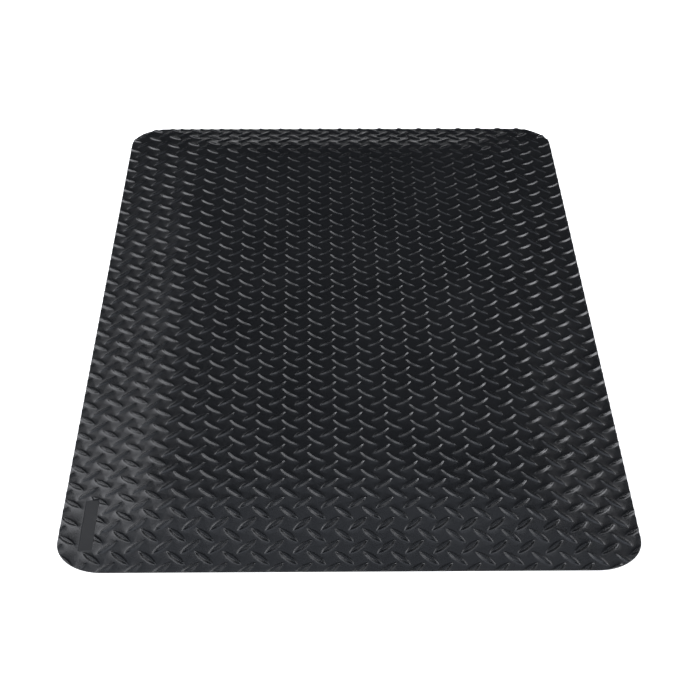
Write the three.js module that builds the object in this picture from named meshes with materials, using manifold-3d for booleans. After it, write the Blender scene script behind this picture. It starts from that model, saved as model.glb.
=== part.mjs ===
// Anti fatigue mat: a raised-tread wear sheet bonded over a bevelled sponge cushion.
// Millimetres, +Z up. X runs across the mat, Y along it, and the front edge is at -Y.
// The origin is the centre of the underside, on the floor.

import * as THREE from "three";
import { mergeVertices } from "three/addons/utils/BufferGeometryUtils.js";
import Module from "manifold-3d";

const wasm = await Module();
wasm.setup();

// ---- Driving dimensions ----

const WIDTH = 914.4;             // 3 ft
const LENGTH = 1524;             // 5 ft
const CORNER_RADIUS = 76.2;      // 3 in

// The top surface, as a height over each distance in from the long sides of the mat.
// The bevels of the two ends have the same heights over shorter distances.
const EDGE_HEIGHT = 3;           // bare edge of the sheet, lying on the floor
const SIDE_BEVEL_WIDTH = 140;
const END_BEVEL_WIDTH = 110;
const SHOULDER_HEIGHT = 22.2;    // nominal thickness, 7/8 in, where the bevel meets the deck
const SHOULDER_BLEND = 20;       // length each side of the shoulder that rounds it
const BEVEL_SLOPE_AT_EDGE = 0.1; // the bevel is slightly hollow, so it is flatter here
const CROWN_RUN = 330;           // inset at which the deck becomes level
const CROWN_HEIGHT = 30;

const SHEET_THICKNESS = 3;
const FILM_THICKNESS = 0.5;
const BOND_GAP = 0.3;            // left between neighbouring layers
const CUSHION_EDGE_GAP = 0.5;    // left between the edge of the cushion and the rim
const RIM_WIDTH = 18;            // solid border of sheet outside the cushion

// A blank, smooth label recess on the left bevel, near the front corner.
const LABEL_WIDTH = 22.5;
const LABEL_LENGTH = 125;
const LABEL_DEPTH = 1.9;         // below the tops of the tread
const LABEL_CENTRE_X = -410.6;
const LABEL_CENTRE_Y = -650.2;

const CORNER_STEPS = 10;         // straight runs in each rounded corner
const CURVE_STEPS = 6;           // straight runs in each curve of the profile

// ---- Outline and profile ----

/**
 * Counter-clockwise outline of the mat, moved in from the long sides by an inset and
 * from the ends in proportion, with its corner radius kept.
 */
function outline(inset) {
  const endInset = inset * END_BEVEL_WIDTH / SIDE_BEVEL_WIDTH;
  const centreX = WIDTH / 2 - inset - CORNER_RADIUS;
  const centreY = LENGTH / 2 - endInset - CORNER_RADIUS;
  const quarter = Math.PI / 2;
  const corners = [[1, 1], [-1, 1], [-1, -1], [1, -1]];
  const points = [];
  corners.forEach(([sideX, sideY], corner) => {
    for (let step = 0; step <= CORNER_STEPS; step += 1) {
      const angle = quarter * (corner + step / CORNER_STEPS);
      points.push(new THREE.Vector2(
        sideX * centreX + CORNER_RADIUS * Math.cos(angle),
        sideY * centreY + CORNER_RADIUS * Math.sin(angle),
      ));
    }
  });
  return points;
}

/** The whole top profile: a hollow bevel, a rounded shoulder and a crowned deck. */
function fullProfile() {
  const bevelEnd = SIDE_BEVEL_WIDTH - SHOULDER_BLEND;
  const hollowInset = bevelEnd / 2;
  const hollowHeight = EDGE_HEIGHT + hollowInset * BEVEL_SLOPE_AT_EDGE;
  const bevelSlope = (SHOULDER_HEIGHT - hollowHeight) / (SIDE_BEVEL_WIDTH - hollowInset);
  const crownInset = (SIDE_BEVEL_WIDTH + CROWN_RUN) / 2;
  const crownSlope = (CROWN_HEIGHT - SHOULDER_HEIGHT) / (crownInset - SIDE_BEVEL_WIDTH);

  const path = new THREE.Path();
  path.moveTo(0, EDGE_HEIGHT);
  path.quadraticCurveTo(
    hollowInset, hollowHeight,
    bevelEnd, SHOULDER_HEIGHT - SHOULDER_BLEND * bevelSlope,
  );
  path.quadraticCurveTo(
    SIDE_BEVEL_WIDTH, SHOULDER_HEIGHT,
    SIDE_BEVEL_WIDTH + SHOULDER_BLEND, SHOULDER_HEIGHT + SHOULDER_BLEND * crownSlope,
  );
  path.quadraticCurveTo(crownInset, CROWN_HEIGHT, CROWN_RUN, CROWN_HEIGHT);
  return path.getPoints(CURVE_STEPS);
}

/** Top profile from an inset on the bevel to the level middle, as points (inset, height). */
function topProfile(startInset, drop) {
  const profile = fullProfile();
  const next = profile.findIndex((point) => point.x > startInset);
  const [before, after] = [profile[next - 1], profile[next]];
  const share = (startInset - before.x) / (after.x - before.x);
  const start = before.clone().lerp(after, share);
  return [start, ...profile.slice(next)].map((point) => new THREE.Vector2(point.x, point.y - drop));
}

// ---- Solids ----

/**
 * Closed body that passes through a stack of outlines. The sections are points
 * (inset, height), listed from the middle of the top, out over the edge, and back
 * to the middle of the underside.
 */
function loft(sections) {
  const rings = sections.map((section) => (
    outline(section.x).map((point) => new THREE.Vector3(point.x, point.y, section.y))
  ));
  const count = rings[0].length;
  const topCentre = count * rings.length;
  const bottomCentre = topCentre + 1;
  const positions = rings.flat();
  positions.push(new THREE.Vector3(0, 0, sections[0].y));
  positions.push(new THREE.Vector3(0, 0, sections[sections.length - 1].y));

  const faces = [];
  for (let i = 0; i < count; i += 1) {
    const next = (i + 1) % count;
    const last = count * (rings.length - 1);
    faces.push(topCentre, i, next);
    faces.push(bottomCentre, last + next, last + i);
    for (let ring = 0; ring < rings.length - 1; ring += 1) {
      const inner = ring * count;
      const outer = inner + count;
      faces.push(inner + i, outer + i, outer + next);
      faces.push(inner + i, outer + next, inner + next);
    }
  }

  const geometry = new THREE.BufferGeometry().setFromPoints(positions);
  geometry.setIndex(faces);
  return geometry;
}

/** A layer that follows the top profile between two depths below it. */
function layerSections(startInset, upperDrop, lowerDrop) {
  const upper = topProfile(startInset, upperDrop).reverse();
  const lower = topProfile(startInset, lowerDrop);
  return [...upper, ...lower];
}

function wearSheetSections() {
  const upper = topProfile(0, 0).reverse();
  const underside = topProfile(RIM_WIDTH, SHEET_THICKNESS);
  return [
    ...upper,
    new THREE.Vector2(0, 0),
    new THREE.Vector2(RIM_WIDTH, 0),
    ...underside,
  ];
}

/** Everything under the top surface, lowered by a depth, down to below the floor. */
function matBlockSections(drop) {
  const belowFloor = -SHEET_THICKNESS - drop;
  return [
    ...topProfile(0, drop).reverse(),
    new THREE.Vector2(0, belowFloor),
    new THREE.Vector2(CROWN_RUN, belowFloor),
  ];
}

function foamSections() {
  const foamInset = RIM_WIDTH + CUSHION_EDGE_GAP;
  const foamDrop = SHEET_THICKNESS + FILM_THICKNESS + 2 * BOND_GAP;
  return [
    ...topProfile(foamInset, foamDrop).reverse(),
    new THREE.Vector2(foamInset, 0),
    new THREE.Vector2(CROWN_RUN, 0),
  ];
}

// ---- Booleans ----

function toManifold(geometry) {
  const plain = geometry.clone();
  plain.deleteAttribute("normal");
  plain.deleteAttribute("uv");
  const merged = mergeVertices(plain);
  return new wasm.Manifold(new wasm.Mesh({
    numProp: 3,
    vertProperties: new Float32Array(merged.attributes.position.array),
    triVerts: new Uint32Array(merged.index.array),
  }));
}

function fromManifold(solid) {
  const mesh = solid.getMesh();
  const geometry = new THREE.BufferGeometry();
  geometry.setAttribute("position", new THREE.BufferAttribute(mesh.vertProperties, 3));
  geometry.setIndex(new THREE.BufferAttribute(mesh.triVerts, 1));
  return geometry;
}

/** The sheet, with a shallow recess whose floor runs parallel to the bevel. */
function wearSheetGeometry() {
  const cutter = new THREE.BoxGeometry(LABEL_WIDTH, LABEL_LENGTH, 2 * CROWN_HEIGHT);
  cutter.translate(LABEL_CENTRE_X, LABEL_CENTRE_Y, CROWN_HEIGHT);
  const belowRecess = toManifold(loft(matBlockSections(LABEL_DEPTH)));
  const recess = toManifold(cutter).subtract(belowRecess);
  return fromManifold(toManifold(loft(wearSheetSections())).subtract(recess));
}

function filmGeometry() {
  const filmInset = RIM_WIDTH + CUSHION_EDGE_GAP;
  const upperDrop = SHEET_THICKNESS + BOND_GAP;
  return loft(layerSections(filmInset, upperDrop, upperDrop + FILM_THICKNESS));
}

// ---- Scene graph ----

const wearSheetMaterial = new THREE.MeshStandardMaterial({
  color: 0x1e2022, roughness: 0.48, metalness: 0,
});
const filmMaterial = new THREE.MeshStandardMaterial({
  color: 0x6b6657, roughness: 0.35, metalness: 0,
});
const foamMaterial = new THREE.MeshStandardMaterial({
  color: 0x2f3133, roughness: 0.95, metalness: 0,
});

function namedMesh(name, geometry, material) {
  geometry.computeVertexNormals();
  const mesh = new THREE.Mesh(geometry, material);
  mesh.name = name;
  return mesh;
}

const mat = new THREE.Group();
mat.name = "anti_fatigue_mat";
mat.add(namedMesh("wear_sheet", wearSheetGeometry(), wearSheetMaterial));
mat.add(namedMesh("bond_film", filmGeometry(), filmMaterial));
mat.add(namedMesh("foam_base", loft(foamSections()), foamMaterial));

export default mat;
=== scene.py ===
"""Anti fatigue mat: a wear sheet with a raised lozenge tread over a bevelled sponge cushion.

Sizes of the mat are in millimetres; the camera, floor, lights and patterns of the materials
are in metres, as the scene is. X runs across the mat, Y along it and +Z up; the front edge is
at -Y, and the origin is the centre of the underside.
"""

import math

import bpy
import numpy as np
from mathutils import Matrix, Vector
from mathutils.geometry import delaunay_2d_cdt


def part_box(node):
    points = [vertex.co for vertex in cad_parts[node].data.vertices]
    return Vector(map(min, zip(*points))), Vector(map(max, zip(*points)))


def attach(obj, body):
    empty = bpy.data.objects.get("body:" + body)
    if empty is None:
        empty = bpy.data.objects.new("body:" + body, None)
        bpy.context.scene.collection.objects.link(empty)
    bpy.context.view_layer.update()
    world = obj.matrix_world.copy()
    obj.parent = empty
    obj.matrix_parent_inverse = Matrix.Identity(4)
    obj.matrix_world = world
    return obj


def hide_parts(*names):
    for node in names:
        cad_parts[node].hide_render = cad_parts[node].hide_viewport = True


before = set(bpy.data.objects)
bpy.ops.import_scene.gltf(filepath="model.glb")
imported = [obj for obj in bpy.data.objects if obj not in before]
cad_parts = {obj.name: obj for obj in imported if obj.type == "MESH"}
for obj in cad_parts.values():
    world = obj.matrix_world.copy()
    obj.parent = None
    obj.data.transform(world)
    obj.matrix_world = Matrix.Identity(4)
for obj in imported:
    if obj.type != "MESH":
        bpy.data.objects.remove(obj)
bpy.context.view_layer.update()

MM = 0.001
SHEET_LOW, SHEET_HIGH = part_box("wear_sheet")

# ---- Sizes from the frame ----

HALF_WIDTH = (SHEET_HIGH.x - SHEET_LOW.x) / 2 / MM
HALF_LENGTH = (SHEET_HIGH.y - SHEET_LOW.y) / 2 / MM
CROWN_HEIGHT = SHEET_HIGH.z / MM

# ---- Profile of the top, over the tops of the tread ----

CORNER_RADIUS = 76.2
EDGE_HEIGHT = 3.0
SIDE_BEVEL_WIDTH = 140.0
END_BEVEL_WIDTH = 110.0
SHOULDER_HEIGHT = 22.2
SHOULDER_BLEND = 20.0
BEVEL_SLOPE_AT_EDGE = 0.1    # the bevel is slightly hollow
CROWN_RUN = 330.0
EDGE_ROUNDING = 0.6          # radius of the sheet's upper edge
END_RATIO = END_BEVEL_WIDTH / SIDE_BEVEL_WIDTH

# ---- Gentle unevenness of the laid sheet, from crossing sine waves ----

WAVE_HEIGHT = 0.22           # of each wave, from trough to crest
WAVE_FADE = 60.0             # width over which the waves die out towards the edge
WAVES = (                    # length, heading in radians, and phase
    (310, 0.4, 0.3),
    (230, 1.9, 2.1),
    (170, 2.7, 4.0),
    (410, 1.1, 5.2),
)

# ---- Layers ----

SHEET_THICKNESS = 3.0
FILM_THICKNESS = 0.5
BOND_GAP = 0.3
CUSHION_EDGE_GAP = 0.5
RIM_WIDTH = 18.0
RIM_STEP = 0.3               # width over which the underside rises inside the rim
FOAM_DROP = SHEET_THICKNESS + FILM_THICKNESS + 2 * BOND_GAP
FOAM_INSET = RIM_WIDTH + CUSHION_EDGE_GAP
FOAM_EDGE_DROPS = (          # distance in from the cushion's edge, and how far its top drops
    (0.0, 0.5),
    (0.6, 0.12),
    (2.0, 0.0),
)
FOAM_TOP_START = 12.0        # from here inwards the rings of its top are evenly spaced
FOAM_RIPPLE = 0.05           # half the depth of the faint ripple in its skin
FOAM_RIPPLE_X = 9.0          # length of the ripple over one radian, across the mat
FOAM_RIPPLE_Y = 11.0         # and along it
FOAM_FOOT_WIDTH = 0.3        # width of the strip at the foot that is lifted off the floor
FOAM_FOOT_LIFT = 0.4

# ---- Tread: two sets of lozenges, nearly at right angles, on interleaved lattices ----

PITCH_X = 43.43
PITCH_Y = 46.33
LATTICE_X = -12.0            # centre of one falling lozenge
LATTICE_Y = 6.3
SKEW_X = -0.0050             # how far the columns lean, per millimetre along the mat
SKEW_Y = -0.0076             # how far the rows lean, per millimetre across it
LOZENGE_ANGLE = 43.5         # degrees from the mat's width
LOZENGE_HALF_LENGTH = 20.3
LOZENGE_HALF_WIDTH = 5.6
LOZENGE_HEIGHT = 2.0
LOZENGE_FULLNESS = 2.2       # 2 is a parabola; more makes blunter tips
CREST_SHORTENING = 0.36      # how much shorter the middle line is than the lozenge
MIDDLE_REACH = 0.55          # where the points on the middle line lie, as a part of its half

# Section of a lozenge: its relative slope at distances in from its side. A soft skirt
# spreads outside it, and its top is slightly dished between two rounded rims.
SECTION = (
    (-4.6, 0.0),
    (-2.4, 0.08),
    (-0.6, 0.22),
    (0.2, 0.50),
    (2.8, 0.50),
    (3.6, 0.0),
    (4.3, -0.05),
    (4.9, -0.05),
    (5.6, 0.0),
)
SECTION_SAMPLES = 800
LEVEL_HALVINGS = 22          # steps of the search for the level curve through a point

# Level curves that the mesh follows: distance in from the side, and number of points.
RING_DISTANCES = ((-2.4, 10), (-0.6, 14), (0.2, 14), (2.8, 10), (3.6, 8))

# ---- Blank label recess ----

LABEL_CENTRE = (-410.6, -650.2)
LABEL_HALF_SIZE = (11.25, 62.5)
LABEL_STEP = 1.0             # width of the recess's walls
LABEL_SINK = 0.5             # below the sheet between the lozenges
LABEL_KEEP_OUT = (12.0, 6.0) # rising lozenges this near to the recess are left out
LABEL_GUARD = 0.5            # extra outlines of the mesh this far outside and inside the walls
LABEL_SPACING = 3.5          # between the points along its walls

# ---- Fineness of the meshes ----

CORNER_STEPS = 48            # round each corner of the sheet's edge
SOFT_CORNER_STEPS = 16       # round each corner of an outline that is out of sight
TREAD_MERGE = 1e-3           # points nearer to each other than this become one
PLAIN_MERGE = 1e-4
NORMAL_STEP = 0.04           # distance over which a slope is measured
EDGE_PROBE = 0.999           # scales points of the edge to where the bevel has a slope
RIM_SPACING = 40             # between points along the straight sides of the rim
UNDERSIDE_SPACING = 60
UNDERSIDE_INSETS = (45, 70, 95, 120, 127, 133, 140, 147, 153, 160, 180, 205, 235, 270, CROWN_RUN)
FOAM_SPACING = 24
FOAM_RINGS = 34


# ---- Height of the top surface ----


def inset_at(x, y):
    """Which inset outline passes through each point: 0 on the edge, growing inwards."""
    side = HALF_WIDTH - np.abs(x)
    end = HALF_LENGTH - np.abs(y)
    straight = np.minimum(side, end / END_RATIO)
    from_side = CORNER_RADIUS - side
    from_end = CORNER_RADIUS - end
    a = 1 + END_RATIO ** 2
    b = 2 * (from_side + END_RATIO * from_end)
    c = from_side ** 2 + from_end ** 2 - CORNER_RADIUS ** 2
    root = (-b + np.sqrt(np.maximum(b * b - 4 * a * c, 0))) / (2 * a)
    in_corner = (from_side + root > 0) & (from_end + END_RATIO * root > 0)
    return np.where(in_corner, np.minimum(root, straight), straight)


def bezier(start, control, end, steps=200):
    """Points along a quadratic curve."""
    t = np.linspace(0, 1, steps)[:, None]
    start, control, end = np.array(start), np.array(control), np.array(end)
    return (1 - t) ** 2 * start + 2 * t * (1 - t) * control + t ** 2 * end


def make_profile():
    """Heights of the top over insets: a hollow bevel, a rounded shoulder and a crown."""
    bevel_end = SIDE_BEVEL_WIDTH - SHOULDER_BLEND
    hollow = (bevel_end / 2, EDGE_HEIGHT + bevel_end / 2 * BEVEL_SLOPE_AT_EDGE)
    bevel_slope = (SHOULDER_HEIGHT - hollow[1]) / (SIDE_BEVEL_WIDTH - hollow[0])
    crown_inset = (SIDE_BEVEL_WIDTH + CROWN_RUN) / 2
    crown_slope = (CROWN_HEIGHT - SHOULDER_HEIGHT) / (crown_inset - SIDE_BEVEL_WIDTH)
    before = (bevel_end, SHOULDER_HEIGHT - SHOULDER_BLEND * bevel_slope)
    after = (
        SIDE_BEVEL_WIDTH + SHOULDER_BLEND,
        SHOULDER_HEIGHT + SHOULDER_BLEND * crown_slope,
    )
    bevel = bezier((0, EDGE_HEIGHT), hollow, before)
    shoulder = bezier(before, (SIDE_BEVEL_WIDTH, SHOULDER_HEIGHT), after)
    crown = bezier(after, (crown_inset, CROWN_HEIGHT), (CROWN_RUN, CROWN_HEIGHT))
    return np.vstack([bevel, shoulder[1:], crown[1:]])


PROFILE = make_profile()


def crest_level(x, y):
    """Height of the plain surface that the tops of the tread touch."""
    return np.interp(inset_at(x, y), PROFILE[:, 0], PROFILE[:, 1])


def waves(x, y):
    """Slow unevenness, which dies out at the edge."""
    total = np.zeros_like(x)
    for length, heading, phase in WAVES:
        along = x * math.cos(heading) + y * math.sin(heading)
        total += np.sin(2 * math.pi * along / length + phase)
    return WAVE_HEIGHT / 2 * total * np.clip(inset_at(x, y) / WAVE_FADE, 0, 1)


def make_lozenge_section():
    """Levels and heights from the foot of the skirt to the middle line of a lozenge."""
    knots, slopes = np.transpose(SECTION)
    distance = np.linspace(knots[0], knots[-1], SECTION_SAMPLES)
    slope = np.interp(distance, knots, slopes)
    height = np.concatenate([[0], np.cumsum((slope[1:] + slope[:-1]) / 2)])
    return distance / LOZENGE_HALF_WIDTH, height / height.max() * LOZENGE_HEIGHT


SECTION_LEVELS, SECTION_HEIGHTS = make_lozenge_section()


def lens_half_width(u, level):
    """Half-width at u of a level curve: 0 is the lozenge's outline, 1 its middle line."""
    half_length = LOZENGE_HALF_LENGTH * (1 - CREST_SHORTENING * level)
    reach = np.abs(u) / half_length
    return LOZENGE_HALF_WIDTH * (1 - level) * (1 - reach ** LOZENGE_FULLNESS)


def lozenge_height(u, v):
    """Height of one lozenge at a point u along it and v across it."""
    low = np.full_like(u, SECTION_LEVELS[0])
    high = np.ones_like(u)
    outside = lens_half_width(u, low) <= np.abs(v)
    for _ in range(LEVEL_HALVINGS):
        middle = (low + high) / 2
        beyond = lens_half_width(u, middle) < np.abs(v)
        high = np.where(beyond, middle, high)
        low = np.where(beyond, low, middle)
    height = np.interp((low + high) / 2, SECTION_LEVELS, SECTION_HEIGHTS)
    return np.where(outside, 0, height)


def lattice_place(column, row):
    """Plan position of a lattice point; both counts may be fractions."""
    along_x, along_y = column * PITCH_X, row * PITCH_Y
    return LATTICE_X + along_x + SKEW_X * along_y, LATTICE_Y + along_y + SKEW_Y * along_x


def lattice_cell(x, y):
    """Column and row, as fractions, of a plan position."""
    from_x, from_y = x - LATTICE_X, y - LATTICE_Y
    spread = 1 - SKEW_X * SKEW_Y
    column = (from_x - SKEW_X * from_y) / spread / PITCH_X
    row = (from_y - SKEW_Y * from_x) / spread / PITCH_Y
    return column, row


def lattice_shift(rising):
    """The rising lozenges lie half a cell from the falling ones, both ways."""
    return 0.5 if rising else 0.0


def lozenge_axes(rising):
    """Unit vectors along and across the lozenges of one set."""
    angle = math.radians(LOZENGE_ANGLE if rising else -LOZENGE_ANGLE)
    return (math.cos(angle), math.sin(angle)), (-math.sin(angle), math.cos(angle))


def to_lozenge(x, y, rising):
    """Coordinates along and across the nearest lozenge of one set, and where it lies."""
    shift = lattice_shift(rising)
    column, row = lattice_cell(x, y)
    centre = lattice_place(np.round(column - shift) + shift, np.round(row - shift) + shift)
    dx, dy = x - centre[0], y - centre[1]
    along, across = lozenge_axes(rising)
    return dx * along[0] + dy * along[1], dx * across[0] + dy * across[1], centre


def label_mask(x, y):
    """1 inside the label recess, 0 outside, with a steep ramp at its walls."""
    inside_x = LABEL_HALF_SIZE[0] - np.abs(x - LABEL_CENTRE[0])
    inside_y = LABEL_HALF_SIZE[1] - np.abs(y - LABEL_CENTRE[1])
    ramp = np.clip(np.minimum(inside_x, inside_y) / LABEL_STEP, 0, 1)
    return ramp * ramp * (3 - 2 * ramp)


def left_out(centre_x, centre_y):
    """Whether a rising lozenge is centred in the label recess or too near to be moulded."""
    reach_x, reach_y = LABEL_KEEP_OUT
    inside_x = np.abs(centre_x - LABEL_CENTRE[0]) < LABEL_HALF_SIZE[0] + reach_x
    inside_y = np.abs(centre_y - LABEL_CENTRE[1]) < LABEL_HALF_SIZE[1] + reach_y
    return inside_x & inside_y


def tread_height(x, y):
    """Height of the tread above the sheet between the lozenges."""
    height = np.zeros_like(x)
    for rising in (False, True):
        u, v, centre = to_lozenge(x, y, rising)
        lozenge = lozenge_height(u, v)
        if rising:
            lozenge = np.where(left_out(*centre), 0, lozenge)
        height += lozenge
    return height


def sheet_top(x, y):
    """Full height of the sheet's upper surface."""
    mask = label_mask(x, y)
    web = crest_level(x, y) - LOZENGE_HEIGHT + waves(x, y)
    short = np.clip(EDGE_ROUNDING - inset_at(x, y), 0, EDGE_ROUNDING)
    rounding = EDGE_ROUNDING - np.sqrt(np.maximum(EDGE_ROUNDING ** 2 - short ** 2, 0))
    return web + tread_height(x, y) * (1 - mask) - LABEL_SINK * mask - rounding


def sheet_underside(x, y):
    """The rim lies on the floor; inside it the sheet arches over the cushion."""
    inset = inset_at(x, y)
    cavity = crest_level(x, y) - SHEET_THICKNESS
    rise = np.clip((inset - RIM_WIDTH) / RIM_STEP, 0, 1)
    return cavity * rise


def height_normals(height, x, y):
    """Upward normals of a height function."""
    step = NORMAL_STEP
    slope_x = (height(x + step, y) - height(x - step, y)) / (2 * step)
    slope_y = (height(x, y + step) - height(x, y - step)) / (2 * step)
    normals = np.stack([-slope_x, -slope_y, np.ones_like(x)], axis=1)
    return normals / np.linalg.norm(normals, axis=1, keepdims=True)


# ---- Outlines ----


def outline(inset, corner_steps, side_step=None):
    """Counter-clockwise outline at an inset, with optional points along its straight sides."""
    centre_x = HALF_WIDTH - inset - CORNER_RADIUS
    centre_y = HALF_LENGTH - inset * END_RATIO - CORNER_RADIUS
    points = []
    for corner, (side_x, side_y) in enumerate(((1, 1), (-1, 1), (-1, -1), (1, -1))):
        for step in range(corner_steps + 1):
            angle = math.pi / 2 * (corner + step / corner_steps)
            points.append((
                side_x * centre_x + CORNER_RADIUS * math.cos(angle),
                side_y * centre_y + CORNER_RADIUS * math.sin(angle),
            ))
    if side_step is None:
        return np.array(points)
    filled = []
    for here, after in zip(points, points[1:] + points[:1]):
        here, after = np.array(here), np.array(after)
        parts = max(1, round(np.linalg.norm(after - here) / side_step))
        filled += [here + (after - here) * k / parts for k in range(parts)]
    return np.array(filled)


def lens_outline(level, count):
    """Closed level curve of a lozenge, in its own u, v coordinates."""
    half_length = LOZENGE_HALF_LENGTH * (1 - CREST_SHORTENING * level)
    angles = 2 * math.pi * np.arange(count) / count
    u = half_length * np.cos(angles)
    # Rounding makes the sines at the two tips exactly zero.
    v = np.sign(np.round(np.sin(angles), 9)) * lens_half_width(u, level)
    return np.stack([u, v], axis=1)


def lozenge_rings():
    """Level curves where the section of a lozenge bends, and points on its middle line."""
    rings = [
        lens_outline(distance / LOZENGE_HALF_WIDTH, count)
        for distance, count in RING_DISTANCES
    ]
    reach = LOZENGE_HALF_LENGTH * (1 - CREST_SHORTENING) * MIDDLE_REACH
    return rings, np.array([[-reach, 0.0], [0.0, 0.0], [reach, 0.0]])


class Plan:
    """Points and edges drawn in plan, to be triangulated together."""

    def __init__(self):
        self.points = []
        self.edges = []

    def add_loop(self, loop):
        start = len(self.points)
        count = len(loop)
        self.points += [tuple(point) for point in loop]
        self.edges += [(start + k, start + (k + 1) % count) for k in range(count)]

    def add_points(self, points):
        self.points += [tuple(point) for point in points]

    def triangulate(self, rim_count, tolerance):
        """Points and triangles, kept only inside the first loop, which has rim_count points."""
        flat = [Vector(point) for point in self.points]
        rim = [list(range(rim_count))]
        found = delaunay_2d_cdt(flat, self.edges, rim, 0, tolerance)
        corners, _, triangles, _, _, memberships = found
        points = np.array([tuple(point) for point in corners])
        kept = np.array([face for face, inside in zip(triangles, memberships) if inside])
        used = np.unique(kept)
        renumber = np.full(len(points), -1)
        renumber[used] = np.arange(len(used))
        return points[used], renumber[kept]


def rectangle(centre, half_size, step):
    """Counter-clockwise rectangle with points along its sides."""
    corners = np.array([
        (centre[0] + sx * half_size[0], centre[1] + sy * half_size[1])
        for sx, sy in ((-1, -1), (1, -1), (1, 1), (-1, 1))
    ])
    points = []
    for here, after in zip(corners, np.roll(corners, -1, axis=0)):
        parts = max(1, round(np.linalg.norm(after - here) / step))
        points += [here + (after - here) * k / parts for k in range(parts)]
    return points


def tread_plan():
    """Plan of the sheet's top: its edge, every lozenge that reaches it, and the label."""
    plan = Plan()
    plan.add_loop(outline(0.0, CORNER_STEPS))
    plan.add_loop(outline(EDGE_ROUNDING / 2, CORNER_STEPS))
    plan.add_loop(outline(EDGE_ROUNDING, CORNER_STEPS))
    for inset in (-LABEL_GUARD, 0, LABEL_STEP / 2, LABEL_STEP, LABEL_STEP + LABEL_GUARD):
        half_size = [half - inset for half in LABEL_HALF_SIZE]
        plan.add_loop(rectangle(LABEL_CENTRE, half_size, LABEL_SPACING))

    rings, middle = lozenge_rings()
    columns = int(HALF_WIDTH / PITCH_X) + 2
    rows = int(HALF_LENGTH / PITCH_Y) + 2
    for rising in (False, True):
        along, across = np.array(lozenge_axes(rising))
        shift = lattice_shift(rising)
        for column in range(-columns, columns + 1):
            for row in range(-rows, rows + 1):
                centre = np.array(lattice_place(column + shift, row + shift))
                if rising and left_out(*centre):
                    continue
                place = [centre + ring[:, :1] * along + ring[:, 1:] * across for ring in rings]
                outer = place[0]
                if inset_at(outer[:, 0], outer[:, 1]).max() < 0:
                    continue
                if label_mask(outer[:, 0], outer[:, 1]).min() > 0:
                    continue
                for loop in place:
                    plan.add_loop(loop)
                plan.add_points(centre + middle[:, :1] * along)

    gaps = [
        lattice_place(column + shift_x, row + shift_y)
        for column in range(-columns, columns + 1)
        for row in range(-rows, rows + 1)
        for shift_x, shift_y in ((0.5, 0.0), (0.0, 0.5))
    ]
    gaps = np.array(gaps)
    inside = inset_at(gaps[:, 0], gaps[:, 1]) > EDGE_ROUNDING * 2
    plan.add_points(gaps[inside])
    return plan


# ---- Meshes ----


def new_piece(name, points, faces, loop_normals=None):
    """A mesh object from points in millimetres."""
    mesh = bpy.data.meshes.new(name)
    mesh.from_pydata((points * MM).tolist(), [], [list(face) for face in faces])
    mesh.polygons.foreach_set("use_smooth", [True] * len(mesh.polygons))
    mesh.update()
    if loop_normals is not None:
        mesh.normals_split_custom_set(loop_normals.tolist())
    piece = bpy.data.objects.new(name, mesh)
    bpy.context.scene.collection.objects.link(piece)
    return piece


def edge_ring(points, faces):
    """Points on the outer edge of a triangulated plan, in order round it."""
    sides = np.vstack([faces[:, [0, 1]], faces[:, [1, 2]], faces[:, [2, 0]]])
    sides, uses = np.unique(np.sort(sides, axis=1), axis=0, return_counts=True)
    on_edge = np.unique(sides[uses == 1])
    angles = np.arctan2(points[on_edge, 1], points[on_edge, 0])
    return on_edge[np.argsort(angles)]


def lift(points, height):
    """Points in space from points in plan and a height function."""
    return np.column_stack([points, height(points[:, 0], points[:, 1])])


def match_points(points, targets):
    """Index of the nearest point to each target."""
    return np.array([
        int(np.argmin(np.sum((points - target) ** 2, axis=1))) for target in targets
    ])


def underside_plan(ring_points):
    """Points and triangles, in plan, of the sheet's underside inside its edge."""
    plan = Plan()
    plan.add_loop(ring_points)
    plan.add_loop(outline(RIM_WIDTH, SOFT_CORNER_STEPS, RIM_SPACING))
    plan.add_loop(outline(RIM_WIDTH + RIM_STEP, SOFT_CORNER_STEPS, RIM_SPACING))
    for inset in UNDERSIDE_INSETS:
        plan.add_loop(outline(inset, SOFT_CORNER_STEPS, UNDERSIDE_SPACING))
    return plan.triangulate(len(ring_points), PLAIN_MERGE)


def wall_normals(ring_points):
    """Level normals that point outwards, for the four corners of each face of the wall."""
    probes = ring_points * EDGE_PROBE
    outward = height_normals(crest_level, probes[:, 0], probes[:, 1])
    outward[:, 2] = 0
    outward /= np.linalg.norm(outward, axis=1, keepdims=True)
    after = np.roll(outward, -1, axis=0)
    return np.stack([outward, outward, after, after], axis=1).reshape(-1, 3)


def mark_sheet(sheet, top):
    """Attributes that the material reads: height of the tread, and the label recess."""
    marks = {
        "relief": tread_height(top[:, 0], top[:, 1]) / LOZENGE_HEIGHT,
        "label": label_mask(top[:, 0], top[:, 1]),
    }
    for name, values in marks.items():
        padded = np.zeros(len(sheet.data.vertices), dtype=np.float32)
        padded[:len(top)] = values
        layer = sheet.data.attributes.new(name, "FLOAT", "POINT")
        layer.data.foreach_set("value", padded)


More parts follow.
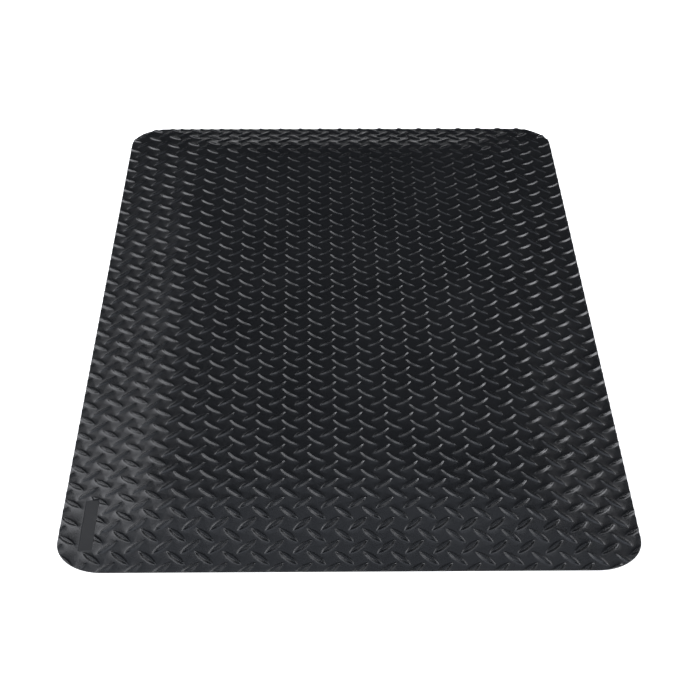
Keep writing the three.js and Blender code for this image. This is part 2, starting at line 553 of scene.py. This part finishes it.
def make_wear_sheet():
    """The sheet as one closed mesh: tread, rounded edge, rim and hollow underside."""
    rim_count = len(outline(0.0, CORNER_STEPS))
    top, top_faces = tread_plan().triangulate(rim_count, TREAD_MERGE)
    ring = edge_ring(top, top_faces)
    under, under_faces = underside_plan(top[ring])
    under_faces = under_faces[:, ::-1]
    under_ring = match_points(under, top[ring])

    count = len(top)
    points = np.vstack([lift(top, sheet_top), lift(under, sheet_underside)])
    walls = np.column_stack([
        ring,
        count + under_ring,
        count + np.roll(under_ring, -1),
        np.roll(ring, -1),
    ])
    faces = top_faces.tolist() + (under_faces + count).tolist() + walls.tolist()

    top_normals = height_normals(sheet_top, top[:, 0], top[:, 1])
    under_normals = -height_normals(sheet_underside, under[:, 0], under[:, 1])
    loop_normals = np.vstack([
        top_normals[top_faces.ravel()],
        under_normals[under_faces.ravel()],
        wall_normals(top[ring]),
    ])
    sheet = new_piece("wear_sheet_tread", points, faces, loop_normals)
    mark_sheet(sheet, top)
    return sheet


def make_foam():
    """The sponge cushion, with its cut edge slightly rounded and a faint skin ripple."""
    insets = [FOAM_INSET + distance for distance, _ in FOAM_EDGE_DROPS]
    insets += list(np.linspace(FOAM_INSET + FOAM_TOP_START, CROWN_RUN, FOAM_RINGS))
    drops = [drop for _, drop in FOAM_EDGE_DROPS] + [0.0] * FOAM_RINGS
    rings = [outline(inset, SOFT_CORNER_STEPS, FOAM_SPACING) for inset in insets]
    top = np.vstack(rings)
    edge_drop = np.repeat(drops, [len(ring) for ring in rings])
    plan = Plan()
    for ring in rings:
        plan.add_loop(ring)
    flat, faces = plan.triangulate(len(rings[0]), PLAIN_MERGE)
    crossing = np.sin(flat[:, 0] / FOAM_RIPPLE_X) * np.sin(flat[:, 1] / FOAM_RIPPLE_Y)
    ripple = FOAM_RIPPLE * (crossing - 1)
    upper = crest_level(flat[:, 0], flat[:, 1]) - FOAM_DROP + ripple
    upper -= edge_drop[match_points(top, flat)]
    inset = inset_at(flat[:, 0], flat[:, 1])
    lower = np.where(inset < FOAM_INSET + FOAM_FOOT_WIDTH, FOAM_FOOT_LIFT, 0.0)
    count = len(flat)
    points = np.vstack([
        np.column_stack([flat, upper]),
        np.column_stack([flat, lower]),
    ])
    rim = match_points(flat, rings[0])
    after = np.roll(rim, -1)
    walls = np.column_stack([rim, rim + count, after + count, after])
    faces = faces.tolist() + (faces[:, ::-1] + count).tolist() + walls.tolist()
    return new_piece("foam_cushion", points, faces)


# ---- Materials ----


class Nodes:
    """A material's node tree, with short calls to add and link nodes."""

    def __init__(self, name):
        self.material = bpy.data.materials.new(name)
        self.material.use_nodes = True
        self.tree = self.material.node_tree
        self.tree.nodes.clear()
        self.shader = self.add("ShaderNodeBsdfPrincipled")
        output = self.add("ShaderNodeOutputMaterial")
        self.link(self.shader.outputs["BSDF"], output.inputs["Surface"])
        self.place = self.add("ShaderNodeTexCoord").outputs["Object"]

    def add(self, kind, **settings):
        node = self.tree.nodes.new(kind)
        for name, value in settings.items():
            setattr(node, name, value)
        return node

    def link(self, source, target):
        self.tree.links.new(source, target)

    def noise(self, scale, detail=3.0, roughness=0.55):
        node = self.add("ShaderNodeTexNoise")
        node.inputs["Scale"].default_value = scale
        node.inputs["Detail"].default_value = detail
        node.inputs["Roughness"].default_value = roughness
        self.link(self.place, node.inputs["Vector"])
        return node.outputs["Fac"]

    def cells(self, scale, feature="F1"):
        node = self.add("ShaderNodeTexVoronoi", feature=feature)
        node.inputs["Scale"].default_value = scale
        self.link(self.place, node.inputs["Vector"])
        return node.outputs["Distance"]

    def math(self, operation, first, second):
        node = self.add("ShaderNodeMath", operation=operation)
        for socket, value in zip(node.inputs, (first, second)):
            if isinstance(value, (int, float)):
                socket.default_value = value
            else:
                self.link(value, socket)
        return node.outputs[0]

    def scaled(self, value, factor):
        return self.math("MULTIPLY", value, factor)

    def between(self, value, low, high, from_low=0.3, from_high=0.7):
        """The value's range from_low to from_high, spread from low to high."""
        node = self.add("ShaderNodeMapRange")
        node.inputs["From Min"].default_value = from_low
        node.inputs["From Max"].default_value = from_high
        node.inputs["To Min"].default_value = low
        node.inputs["To Max"].default_value = high
        self.link(value, node.inputs["Value"])
        return node.outputs["Result"]

    def colours(self, value, stops):
        """A colour ramp; each stop is a position and a colour."""
        node = self.add("ShaderNodeValToRGB")
        ramp = node.color_ramp
        while len(ramp.elements) < len(stops):
            ramp.elements.new(0.5)
        for element, (position, colour) in zip(ramp.elements, stops):
            element.position = position
            element.color = (*colour, 1)
        self.link(value, node.inputs["Fac"])
        return node.outputs["Color"]

    def bump(self, height, distance, strength=1.0, normal=None):
        node = self.add("ShaderNodeBump")
        node.inputs["Distance"].default_value = distance
        node.inputs["Strength"].default_value = strength
        self.link(height, node.inputs["Height"])
        if normal is not None:
            self.link(normal, node.inputs["Normal"])
        return node.outputs["Normal"]


def pvc_material():
    """Near-black satin PVC with a fine moulded grain.

    It is a little smoother on the lozenges, and matt in the label recess.
    """
    nodes = Nodes("wear_sheet_pvc")
    shader = nodes.shader
    blotches = nodes.noise(scale=7.0, detail=4.0)
    grain = nodes.noise(scale=620.0, detail=4.0, roughness=0.62)
    tone = nodes.math("ADD", nodes.scaled(blotches, 0.6), nodes.scaled(grain, 0.4))
    dark, light = (0.0058, 0.0062, 0.0069), (0.0105, 0.0110, 0.0119)
    nodes.link(nodes.colours(tone, ((0.3, dark), (0.7, light))), shader.inputs["Base Color"])

    relief = nodes.add("ShaderNodeAttribute", attribute_name="relief").outputs["Fac"]
    rough = nodes.between(grain, low=0.26, high=0.34)
    rough = nodes.math("ADD", rough, nodes.between(blotches, low=-0.02, high=0.02))
    rough = nodes.math("SUBTRACT", rough, nodes.scaled(relief, 0.03))
    label = nodes.add("ShaderNodeAttribute", attribute_name="label").outputs["Fac"]
    rough = nodes.math("ADD", rough, nodes.scaled(label, 0.35))
    nodes.link(rough, shader.inputs["Roughness"])

    pebbles = nodes.cells(scale=520.0, feature="SMOOTH_F1")
    normal = nodes.bump(pebbles, distance=0.00006, strength=0.5)
    normal = nodes.bump(grain, distance=0.00008, strength=0.6, normal=normal)
    nodes.link(normal, shader.inputs["Normal"])
    shader.inputs["IOR"].default_value = 1.53
    return nodes.material


def foam_material():
    """Charcoal closed-cell sponge: fine cells, shallow dents and slow tone changes."""
    nodes = Nodes("foam_sponge")
    shader = nodes.shader
    cells = nodes.cells(scale=700.0)
    slow = nodes.noise(scale=14.0)
    tone = nodes.math("ADD", nodes.scaled(cells, 0.7), nodes.scaled(slow, 0.4))
    dark, light = (0.017, 0.018, 0.020), (0.045, 0.047, 0.050)
    nodes.link(nodes.colours(tone, ((0.2, dark), (0.8, light))), shader.inputs["Base Color"])
    rough = nodes.between(cells, low=0.95, high=0.82, from_low=0.1, from_high=0.7)
    nodes.link(rough, shader.inputs["Roughness"])
    dents = nodes.noise(scale=90.0, detail=4.0)
    normal = nodes.bump(cells, distance=0.0005, strength=0.7)
    normal = nodes.bump(dents, distance=0.0004, strength=0.4, normal=normal)
    nodes.link(normal, shader.inputs["Normal"])
    return nodes.material


def film_material():
    """Thin adhesive film: yellowish grey, with soft streaks and small bubbles."""
    nodes = Nodes("bond_film_adhesive")
    shader = nodes.shader
    streaks = nodes.noise(scale=60.0, detail=5.0)
    bubbles = nodes.cells(scale=240.0)
    low, high = (0.11, 0.10, 0.07), (0.20, 0.18, 0.13)
    nodes.link(nodes.colours(streaks, ((0.35, low), (0.65, high))), shader.inputs["Base Color"])
    nodes.link(nodes.between(streaks, low=0.28, high=0.42), shader.inputs["Roughness"])
    nodes.link(nodes.bump(bubbles, distance=0.0003, strength=0.4), shader.inputs["Normal"])
    return nodes.material


def floor_material():
    """White floor that gives off light, so that it shows pure white as in the photograph."""
    nodes = Nodes("studio_floor_white")
    shader = nodes.shader
    grey, white = (0.86, 0.86, 0.86), (0.90, 0.90, 0.90)
    tone = nodes.colours(nodes.noise(scale=1.5), ((0.3, grey), (0.7, white)))
    nodes.link(tone, shader.inputs["Base Color"])
    rough = nodes.between(nodes.noise(scale=20.0), low=0.75, high=0.85)
    nodes.link(rough, shader.inputs["Roughness"])
    shader.inputs["Specular IOR Level"].default_value = 0.2
    shader.inputs["Emission Color"].default_value = (1, 1, 1, 1)
    shader.inputs["Emission Strength"].default_value = 1.0
    return nodes.material


# ---- Camera, floor and lights ----

CAMERA_PLACE = (-0.0385, -2.9461, 1.8253)
CAMERA_HEADING = 0.948       # degrees to the right of straight along the mat
CAMERA_DIP = 33.027          # degrees below level
CAMERA_ROLL = 0.308
CAMERA_LENS = 94.90          # millimetres, on the sensor below
CAMERA_SENSOR = 36.0
CAMERA_REACH = 50.0          # nothing beyond this distance is seen
FLOOR_HALF_SIZE = 60.0
FLOOR_DROP = 0.0004          # keeps the floor clear of the mat's underside


def add_camera():
    """The camera that took the photograph, as fitted to the mat's outline and tread."""
    heading, dip = math.radians(CAMERA_HEADING), math.radians(CAMERA_DIP)
    forward = Vector((
        math.sin(heading) * math.cos(dip),
        math.cos(heading) * math.cos(dip),
        -math.sin(dip),
    ))
    level_right = Vector((math.cos(heading), -math.sin(heading), 0))
    level_up = level_right.cross(forward)
    axes = Matrix((level_right, level_up, -forward)).transposed().to_4x4()
    data = bpy.data.cameras.new("camera")
    data.sensor_width = CAMERA_SENSOR
    data.lens = CAMERA_LENS
    data.clip_end = CAMERA_REACH
    camera = bpy.data.objects.new("camera", data)
    roll = Matrix.Rotation(math.radians(CAMERA_ROLL), 4, "Z")
    camera.matrix_world = Matrix.Translation(CAMERA_PLACE) @ axes @ roll
    bpy.context.scene.collection.objects.link(camera)
    bpy.context.scene.camera = camera


def add_floor():
    mesh = bpy.data.meshes.new("studio_floor")
    corners = [
        (sx * FLOOR_HALF_SIZE, sy * FLOOR_HALF_SIZE, -FLOOR_DROP)
        for sx, sy in ((-1, -1), (1, -1), (1, 1), (-1, 1))
    ]
    mesh.from_pydata(corners, [], [(0, 1, 2, 3)])
    floor = bpy.data.objects.new("studio_floor", mesh)
    floor.data.materials.append(floor_material())
    bpy.context.scene.collection.objects.link(floor)


SOFTBOX_DISTANCE = 3.2       # from the centre of the mat
NEUTRAL = (0.975, 0.99, 1.04)
COOL = (0.92, 0.99, 1.13)

# Name, azimuth, elevation, width and height in metres, power in watts, and colour.
SOFTBOXES = (
    ("key_left", -55, 39, (1.6, 1.6), 25, NEUTRAL),
    ("key_right", 60, 34, (1.2, 1.1), 25, NEUTRAL),
    ("side_left", -90, 62, (1.2, 1.4), 17, NEUTRAL),
    ("side_right", 90, 65, (1.2, 1.4), 8, NEUTRAL),
    ("back_high", 0, 60, (2.6, 0.8), 4, COOL),
    ("back_low", 0, 27, (2.6, 1.4), 0.6, COOL),
    ("rim_left", -38, 27, (0.7, 0.8), 4, NEUTRAL),
    ("rim_low", -30, 15, (0.8, 0.6), 1.6, NEUTRAL),
    ("rim_right", 43, 20, (0.8, 1.0), 4, NEUTRAL),
    ("overhead", 0, 88, (2.6, 1.2), 9, COOL),
    ("fill_camera", 180, 72, (1.6, 0.8), 7, COOL),
    ("front_left", -140, 28, (1.6, 0.8), 10, COOL),
    ("front_right", 140, 28, (1.6, 0.8), 10, COOL),
)


def add_softbox(name, azimuth, elevation, size, power, colour):
    """Area light that faces the mat. Azimuth 0 is behind the mat, growing to the right."""
    a, e = math.radians(azimuth), math.radians(elevation)
    away = Vector((math.sin(a) * math.cos(e), math.cos(a) * math.cos(e), math.sin(e)))
    data = bpy.data.lights.new(name, "AREA")
    data.shape = "RECTANGLE"
    data.size, data.size_y = size
    data.energy = power
    data.color = colour
    light = bpy.data.objects.new(name, data)
    light.location = away * SOFTBOX_DISTANCE
    light.rotation_mode = "QUATERNION"
    light.rotation_quaternion = away.to_track_quat("Z", "Y")
    bpy.context.scene.collection.objects.link(light)


def add_world():
    """A white surround that the camera sees and that doesn't light the mat."""
    world = bpy.data.worlds.new("studio")
    bpy.context.scene.world = world
    world.use_nodes = True
    background = world.node_tree.nodes["Background"]
    background.inputs["Color"].default_value = (1, 1, 1, 1)
    background.inputs["Strength"].default_value = 1.0
    world.cycles_visibility.diffuse = False
    world.cycles_visibility.glossy = False


# ---- Put together ----


def build():
    add_camera()
    add_floor()
    for softbox in SOFTBOXES:
        add_softbox(*softbox)
    add_world()

    sheet = make_wear_sheet()
    sheet.data.materials.append(pvc_material())
    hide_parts("wear_sheet")

    foam = make_foam()
    foam.data.materials.append(foam_material())
    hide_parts("foam_base")

    for piece in (sheet, foam):
        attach(piece, "root")

    film = bpy.data.objects["bond_film"]
    film.data.materials.clear()
    film.data.materials.append(film_material())

    scene = bpy.context.scene
    scene.view_settings.view_transform = "Standard"
    scene.view_settings.look = "None"


build()
